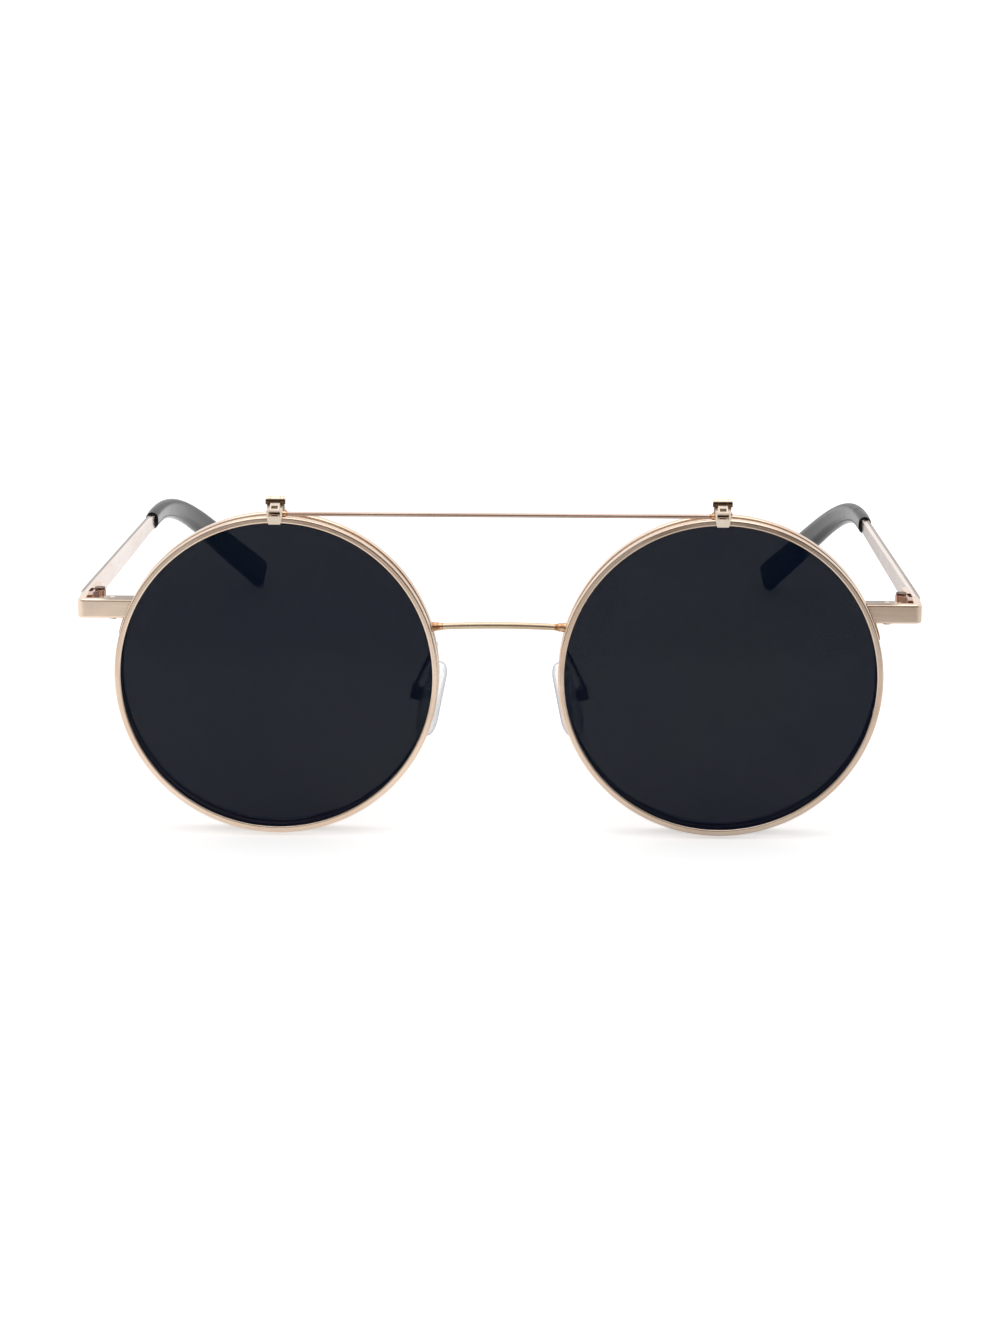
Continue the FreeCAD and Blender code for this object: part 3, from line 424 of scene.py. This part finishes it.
def coreFinish(look):
    material, recipe = newFinish("padCore")
    cloud = recipe.noise(recipe.uprightPlace(), look["cloud"])
    recipe.surface({"Base Color": recipe.mixed(cloud, look["clear"], look["cloudy"]),
                    "Roughness": look["roughness"] + cloud * look["cloudRoughness"],
                    "Alpha": look["alpha"] + cloud * look["cloudAlpha"]})
    return material


hoopGold = goldFinish("hoopGold", "ring", goldLook)
wireGold = goldFinish("wireGold", "across", goldLook)
plateGold = goldFinish("plateGold", "along", goldLook)
barGold = goldFinish("barGold", "across", barLook)
bridgeGold = goldFinish("bridgeGold", "across", bridgeLook)
templeGold = goldFinish("templeGold", "along", templeLook)
knuckleGold = goldFinish("knuckleGold", "along", knuckleLook)
endGold = goldFinish("endGold", "across", endLook)
hingeGold = hingeFinish(hingeLook)
brazedGold = brazeFinish(brazeLook)
brownedSteel = screwFinish(screwLook)
darkLens = darkLensFinish(darkLook)
clearLens = clearLensFinish(clearLook)
blackTip = tipFinish(tipLook)
clearSilicone = siliconeFinish(siliconeLook)
padCore = coreFinish(coreLook)
nodeFinish = {
    "base_rim": hoopGold, "clip_rim": hoopGold, "bridge": bridgeGold, "top_bar": barGold,
    "end_piece": endGold, "rim_lock_upper": endGold, "rim_lock_lower": wireGold, "rim_lock_screw": plateGold,
    "front_hinge": knuckleGold, "rear_hinge": plateGold, "hinge_screw": brownedSteel,
    "temple_bar": templeGold, "temple_tip": blackTip, "flip_post": hingeGold, "flip_arm": hingeGold,
    "flip_pin": hingeGold, "dark_lens": darkLens, "clear_lens": clearLens, "pad_arm": wireGold,
    "pad_box": plateGold, "pad_screw": brownedSteel, "pad_insert": padCore, "nose_pad": clearSilicone}
for nodeName, node in frame["nodes"].items():
    kind = nodeName.removesuffix("_left").removesuffix("_right")
    node.data.materials.clear()
    node.data.materials.append(nodeFinish[kind])
print("finishes on the CAD nodes")

# Modelling helpers
hair = 0.001  # mm, closer than this is the same place


def clearSelection():
    if bpy.context.mode != "OBJECT":
        bpy.ops.object.mode_set(mode="OBJECT")
    bpy.ops.object.select_all(action="DESELECT")


def pick(piece, wanted):
    # selects vertices by their place in mm, in edit mode
    bpy.ops.mesh.select_mode(type="VERT")
    mesh = bmesh.from_edit_mesh(piece.data)
    for vertex in mesh.verts:
        vertex.select = wanted(vertex.co / mm)
    mesh.select_flush(True)
    mesh.select_flush(False)
    bmesh.update_edit_mesh(piece.data)


def pickCap(piece, side):
    # selects the flat face on one side, in edit mode
    bpy.ops.mesh.select_mode(type="FACE")
    bpy.ops.mesh.select_all(action="DESELECT")
    mesh = bmesh.from_edit_mesh(piece.data)
    flat = max(mesh.faces, key=lambda face: side * face.normal.z * face.calc_area())
    flat.select = True
    bmesh.update_edit_mesh(piece.data)


def settle(piece, name, smoothAngle):
    # outward faces, smooth shading and a name
    bpy.ops.object.mode_set(mode="EDIT")
    bpy.ops.mesh.select_all(action="SELECT")
    bpy.ops.mesh.remove_doubles(threshold=hair * mm)
    bpy.ops.mesh.normals_make_consistent(inside=False)
    bpy.ops.object.mode_set(mode="OBJECT")
    bpy.ops.object.shade_smooth_by_angle(angle=math.radians(smoothAngle))
    piece.name = name
    piece.data.name = name


def placeCopy(pattern, name, matrix, body, finish):
    piece = pattern.copy()
    piece.data = pattern.data.copy()
    piece.name = name
    piece.data.name = name
    bpy.context.scene.collection.objects.link(piece)
    piece.data.transform(matrix)
    if matrix.determinant() < 0:
        piece.data.flip_normals()
    piece.data.materials.clear()
    piece.data.materials.append(finish)
    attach(piece, body)
    return piece


def placeBrazed(pattern, name, rightMatrix, body):
    # the right one, its mirror image on the left, and the pattern is done with
    placeCopy(pattern, name + "_right", rightMatrix, body, brazedGold)
    placeCopy(pattern, name + "_left", mirrorX @ rightMatrix, body, brazedGold)
    bpy.data.objects.remove(pattern)


# Brazed collars: a ring at the root, pulled out along the wire and thinned step by step, in mm
collarLook = {"sides": 24, "hollow": 1.8, "ridge": 0.0, "ridgeAt": 0.5, "ridgeWidth": 0.12, "smoothAngle": 60}
bridgeCollar = dict(collarLook, sides=32, wire=0.56, root=0.8, length=1.7, sink=0.5, steps=9, hollow=1.6,
                    ridge=0.07, ridgeAt=0.55, x=10.875, z=7.5, slope=3.1)
barCollar = dict(collarLook, wire=0.355, root=0.55, length=0.9, sink=0.2, steps=7, x=35.25, z=27.07)
footCollar = dict(collarLook, wire=0.41, root=0.56, length=0.9, sink=0.15, steps=6)
boxCollar = dict(collarLook, wire=0.41, root=0.6, length=0.8, sink=0.25, steps=6)


def collarPattern(name, look):
    clearSelection()
    bpy.ops.mesh.primitive_circle_add(vertices=look["sides"], radius=look["root"] * mm, fill_type="NGON",
                                      location=(0, 0, -look["sink"] * mm))
    piece = bpy.context.object
    bpy.ops.object.transform_apply(location=True, rotation=True, scale=True)
    bpy.ops.object.mode_set(mode="EDIT")
    bpy.ops.mesh.select_all(action="SELECT")
    height, radius = -look["sink"], look["root"]
    for step in range(look["steps"] + 1):
        share = step / look["steps"]
        nextHeight = look["length"] * share
        nextRadius = look["wire"] + (look["root"] - look["wire"]) * (1 - share) ** look["hollow"]
        nextRadius += look["ridge"] * math.exp(-((share - look["ridgeAt"]) / look["ridgeWidth"]) ** 2)
        rise = (nextHeight - height) * mm
        bpy.ops.mesh.extrude_region_move(TRANSFORM_OT_translate={"value": (0, 0, rise)})
        ratio = nextRadius / radius
        bpy.ops.transform.resize(value=(ratio, ratio, 1), center_override=(0, 0, nextHeight * mm))
        height, radius = nextHeight, nextRadius
    bpy.ops.object.mode_set(mode="OBJECT")
    settle(piece, name, look["smoothAngle"])
    return piece


bridgeEnd = (upright @ moved(bridgeCollar["x"], 0, bridgeCollar["z"]) @ turned(bridgeCollar["slope"], "Y")
             @ turned(-quarterTurn, "Y"))
placeBrazed(collarPattern("bridgeCollar", bridgeCollar), "bridge_collar", bridgeEnd, "frame")
barEnd = upright @ moved(barCollar["x"], -front["clipGap"], barCollar["z"]) @ turned(-quarterTurn, "Y")
placeBrazed(collarPattern("barCollar", barCollar), "top_bar_collar", barEnd, "flip_front")

# Pad arm: its foot on the back of the rim and its end in the pad box
padArm = {"footX": 10.572, "footZ": 3.4, "turn": 64.5, "drop": 8.4, "back": 6.0}
armFrame = (upright @ moved(padArm["footX"], front["rimHalfDepth"], padArm["footZ"])
            @ turned(padArm["turn"], "Y"))
armFoot = armFrame @ turned(-quarterTurn, "X")
placeBrazed(collarPattern("footCollar", footCollar), "pad_arm_foot", armFoot, "frame")
armEnd = armFrame @ moved(padArm["drop"], padArm["back"], 0) @ turned(-quarterTurn, "Y")
placeBrazed(collarPattern("boxCollar", boxCollar), "pad_box_collar", armEnd, "frame")
print("brazed collars modelled")

# Seam between each end piece and its rim: a bead spun along the hoop, in mm and degrees
seamBead = {"sides": 12, "radius": 0.3, "depth": -0.72, "low": 19.6, "high": 26.3, "steps": 12,
            "smoothAngle": 40, "taper": 0.24, "taperSteps": 4, "taperAngle": 50}


def seamPattern(name, look):
    clearSelection()
    centre = Vector((front["rimOuter"], look["depth"], 0)) * mm
    bpy.ops.mesh.primitive_circle_add(vertices=look["sides"], radius=look["radius"] * mm, fill_type="NGON",
                                      location=centre)
    piece = bpy.context.object
    bpy.ops.object.transform_apply(location=True, rotation=True, scale=True)
    bpy.ops.object.mode_set(mode="EDIT")
    bpy.ops.mesh.select_all(action="SELECT")
    bpy.ops.mesh.spin(steps=look["steps"], angle=math.radians(look["high"] - look["low"]), center=(0, 0, 0),
                      axis=(0, -1, 0), dupli=False)
    bpy.ops.object.mode_set(mode="OBJECT")
    piece.data.transform(turned(-look["low"], "Y"))
    settle(piece, name, look["smoothAngle"])
    # the ends taper off
    clearSelection()
    piece.select_set(True)
    bpy.context.view_layer.objects.active = piece
    bevel = piece.modifiers.new("ends", "BEVEL")
    bevel.width = look["taper"] * mm
    bevel.segments = look["taperSteps"]
    bevel.angle_limit = math.radians(look["taperAngle"])
    bpy.ops.object.modifier_apply(modifier=bevel.name)
    bpy.ops.object.shade_smooth_by_angle(angle=math.radians(look["taperAngle"]))
    return piece


lensMiddle = upright @ moved(front["lensCentre"], 0, 0)
placeBrazed(seamPattern("seamBead", seamBead), "end_seam", lensMiddle, "frame")
print("end seams modelled")

# Beads at the feet of the flip posts, in mm
postBead = {"sides": 16, "radius": 0.3, "length": 1.5, "half": 1.4, "drop": 0.04, "round": 0.22,
            "roundSteps": 4, "endFrom": 0.6, "smoothAngle": 50}


def beadPattern(name, look):
    clearSelection()
    bpy.ops.mesh.primitive_cylinder_add(vertices=look["sides"], radius=look["radius"] * mm,
                                        depth=look["length"] * mm, rotation=(math.radians(quarterTurn), 0, 0))
    piece = bpy.context.object
    bpy.ops.object.transform_apply(location=True, rotation=True, scale=True)
    bpy.ops.object.mode_set(mode="EDIT")
    bpy.ops.mesh.select_all(action="DESELECT")
    for end in (-1, 1):
        pick(piece, lambda place: place.y * end > look["endFrom"])
        bpy.ops.mesh.bevel(offset=look["round"] * mm, segments=look["roundSteps"], affect="EDGES")
        bpy.ops.mesh.select_all(action="DESELECT")
    bpy.ops.object.mode_set(mode="OBJECT")
    settle(piece, name, look["smoothAngle"])
    return piece


pattern = beadPattern("postBead", postBead)
for sideName, side in (("right", 1), ("left", -1)):
    for placeName, aside in (("inner", -1), ("outer", 1)):
        spot = side * (front["lensCentre"] + aside * postBead["half"])
        at = upright @ moved(spot, 0, front["rimOuter"] - postBead["drop"])
        placeCopy(pattern, "post_bead_%s_%s" % (placeName, sideName), at, "frame", brazedGold)
bpy.data.objects.remove(pattern)
print("post beads modelled")

# Silicone nose pad: a drop pulled from a disc, crowned on the nose side, with a boss round the core's stem
nosePad = {"sides": 48, "lower": 3.3, "lowerRadius": 3.7, "upper": 3.5, "upperRadius": 2.5, "thickness": 2.2,
           "round": 0.92, "roundSteps": 6, "roundProfile": 0.5, "level": 0.01,
           "crown": 0.22, "crownSteps": 3, "crownInset": 0.45,
           "bossInset": 0.5, "bossShare": (0.55, 0.5), "bossEdge": 0.12, "bossHeight": 0.14,
           "smoothLevels": 1, "smoothAngle": 70, "seat": 1.2, "splay": 16.0, "turn": 76.0}


def padPattern(name, look):
    clearSelection()
    bpy.ops.mesh.primitive_circle_add(vertices=look["sides"], radius=look["lowerRadius"] * mm,
                                      fill_type="NGON")
    piece = bpy.context.object
    bpy.ops.object.mode_set(mode="EDIT")
    ratio = look["upperRadius"] / look["lowerRadius"]
    pick(piece, lambda place: place.x < -hair)
    bpy.ops.transform.resize(value=(ratio, ratio, 1), center_override=(0, 0, 0))
    bpy.ops.transform.translate(value=(-look["upper"] * mm, 0, 0))
    pick(piece, lambda place: place.x > -hair)
    bpy.ops.transform.translate(value=(look["lower"] * mm, 0, 0))
    # body of the pad, then its rounded edges
    bpy.ops.mesh.select_all(action="SELECT")
    bpy.ops.mesh.extrude_region_move(TRANSFORM_OT_translate={"value": (0, 0, -look["thickness"] * mm)})
    bpy.ops.mesh.select_all(action="SELECT")
    bpy.ops.mesh.normals_make_consistent(inside=False)
    bpy.ops.mesh.select_mode(type="EDGE")
    mesh = bmesh.from_edit_mesh(piece.data)
    for edge in mesh.edges:
        first, second = edge.verts
        edge.select = abs(first.co.z - second.co.z) < look["level"] * mm
    bmesh.update_edit_mesh(piece.data)
    bpy.ops.mesh.bevel(offset=look["round"] * mm, segments=look["roundSteps"], profile=look["roundProfile"],
                       affect="EDGES")
    # crown on the nose side
    pickCap(piece, -1)
    for step in range(look["crownSteps"]):
        bpy.ops.mesh.inset(thickness=look["crownInset"] * mm, depth=0)
        bpy.ops.transform.translate(value=(0, 0, -look["crown"] / look["crownSteps"] * mm))
    # boss on the other side
    pickCap(piece, 1)
    bpy.ops.mesh.inset(thickness=look["bossInset"] * mm, depth=0)
    bpy.ops.transform.resize(value=(*look["bossShare"], 1), center_override=(0, 0, 0))
    bpy.ops.mesh.inset(thickness=look["bossEdge"] * mm, depth=0)
    bpy.ops.transform.translate(value=(0, 0, look["bossHeight"] * mm))
    bpy.ops.mesh.inset(thickness=look["bossEdge"] * mm, depth=0)
    bpy.ops.object.mode_set(mode="OBJECT")
    smoother = piece.modifiers.new("smoother", "SUBSURF")
    smoother.levels = look["smoothLevels"]
    smoother.render_levels = look["smoothLevels"]
    bpy.ops.object.modifier_apply(modifier=smoother.name)
    settle(piece, name, look["smoothAngle"])
    return piece


pattern = padPattern("nosePad", nosePad)
padPoint = Vector(joints["rock_right"]["pos_m"])
rightPad = (Matrix.Translation(padPoint) @ leanBack @ turned(nosePad["turn"], "Y")
            @ moved(0, 0, -nosePad["seat"]) @ turned(nosePad["splay"], "X"))
for sideName, matrix in (("right", rightPad), ("left", mirrorX @ rightPad)):
    pad = placeCopy(pattern, "silicone_pad_" + sideName, matrix, "pad_" + sideName, clearSilicone)
    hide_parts("nose_pad_" + sideName)
bpy.data.objects.remove(pattern)
print("nose pads modelled")

# Floor: a pale table top that ends a little way in front, in metres; mirrors see it dimmer on the right
floorLook = {"width": 3.0, "back": 2.0, "frontEdge": -0.41, "height": -0.00005, "colour": (0.8, 0.8, 0.8, 1),
             "glow": (1, 1, 1, 1), "lift": 0.46, "shine": 0.28, "shineFrom": -0.02, "shineTo": 0.045}
clearSelection()
floorMiddle = (floorLook["back"] + floorLook["frontEdge"]) / 2
bpy.ops.mesh.primitive_plane_add(size=1, location=(0, floorMiddle, floorLook["height"]))
floor = bpy.context.object
floor.scale = (floorLook["width"], floorLook["back"] - floorLook["frontEdge"], 1)
bpy.ops.object.transform_apply(location=True, rotation=True, scale=True)
floor.name = "floor"
material, recipe = newFinish("paleFloor")
fromCamera, fromMirror, throughGlass = recipe.rays()
across = recipe.parts(recipe.objectPlace())[0]
shine = recipe.between(across, floorLook["shineFrom"], floorLook["shineTo"], floorLook["shine"], 0.0)
lift = (fromCamera.larger(throughGlass) * floorLook["lift"]).larger(fromMirror * shine)
matt = recipe.node("ShaderNodeBsdfDiffuse", {}, {"Color": floorLook["colour"]})
glow = recipe.node("ShaderNodeEmission", {}, {"Color": floorLook["glow"], "Strength": lift})
both = recipe.node("ShaderNodeAddShader", {}, {0: matt, 1: glow})
recipe.node("ShaderNodeOutputMaterial", {}, {"Surface": both})
floor.data.materials.append(material)

# World: white all round, and for mirrors a dim room on the side where the camera stands
worldLook = {"ambient": (0.72, 0.72, 0.72, 1), "white": (1, 1, 1, 1), "room": (0.07, 0.06, 0.055, 1),
             "frontFrom": 0.25, "frontTo": 0.6, "highFrom": 0.55, "highTo": 0.85,
             "sideFrom": -0.14, "sideTo": 0.05, "sideShare": 0.8, "strength": 1.0}
world = bpy.data.worlds.new("studio")
bpy.context.scene.world = world
recipe = Recipe(world)
towardsX, towardsY, towardsZ = recipe.parts(recipe.node("ShaderNodeTexCoord", output="Generated"))
fromCamera, fromMirror, throughGlass = recipe.rays()
room = recipe.between(0 - towardsY, worldLook["frontFrom"], worldLook["frontTo"])
room = room * recipe.between(towardsZ, worldLook["highFrom"], worldLook["highTo"], 1.0, 0.0)
room = room * recipe.between(towardsX, worldLook["sideFrom"], worldLook["sideTo"],
                             worldLook["sideShare"], 1.0)
seen = fromCamera.larger(fromMirror).larger(throughGlass)
colour = recipe.mixed(seen, worldLook["ambient"], worldLook["white"])
colour = recipe.mixed(room * (fromMirror * (1 - throughGlass)), colour, worldLook["room"])
background = recipe.node("ShaderNodeBackground", {}, {"Color": colour, "Strength": worldLook["strength"]})
recipe.node("ShaderNodeOutputWorld", {}, {"Surface": background})

# One soft box overhead
softBox = {"size": 0.7, "place": (0.0, 0.05, 0.75), "power": 1.7}
clearSelection()
bpy.ops.object.light_add(type="AREA", location=softBox["place"])
lamp = bpy.context.object
lamp.data.shape = "SQUARE"
lamp.data.size = softBox["size"]
lamp.data.energy = softBox["power"]
print("floor, world and lamp set")

# Camera, at the photograph's angle
shot = {"aim": (0, -4.65, 0), "distance": 650, "elevation": 13.72, "aside": 1.3, "lens": 106.9, "sensor": 36,
        "shiftX": 0.0014, "shiftY": 0.0087, "near": 0.01, "far": 20}
aim = upright @ (Vector(shot["aim"]) * mm)
rise = math.radians(shot["elevation"]) + lean
swing = math.radians(shot["aside"])
back = Vector((math.sin(swing) * math.cos(rise), -math.cos(swing) * math.cos(rise), math.sin(rise)))
clearSelection()
bpy.ops.object.camera_add(location=aim + back * shot["distance"] * mm)
camera = bpy.context.object
camera.rotation_mode = "QUATERNION"
camera.rotation_quaternion = (-back).to_track_quat("-Z", "Y")
camera.data.lens = shot["lens"]
camera.data.sensor_width = shot["sensor"]
camera.data.shift_x = shot["shiftX"]
camera.data.shift_y = shot["shiftY"]
camera.data.clip_start = shot["near"]
camera.data.clip_end = shot["far"]
bpy.context.scene.camera = camera
bpy.context.scene.view_settings.view_transform = "Standard"
print("camera set")

bpy.context.view_layer.update()
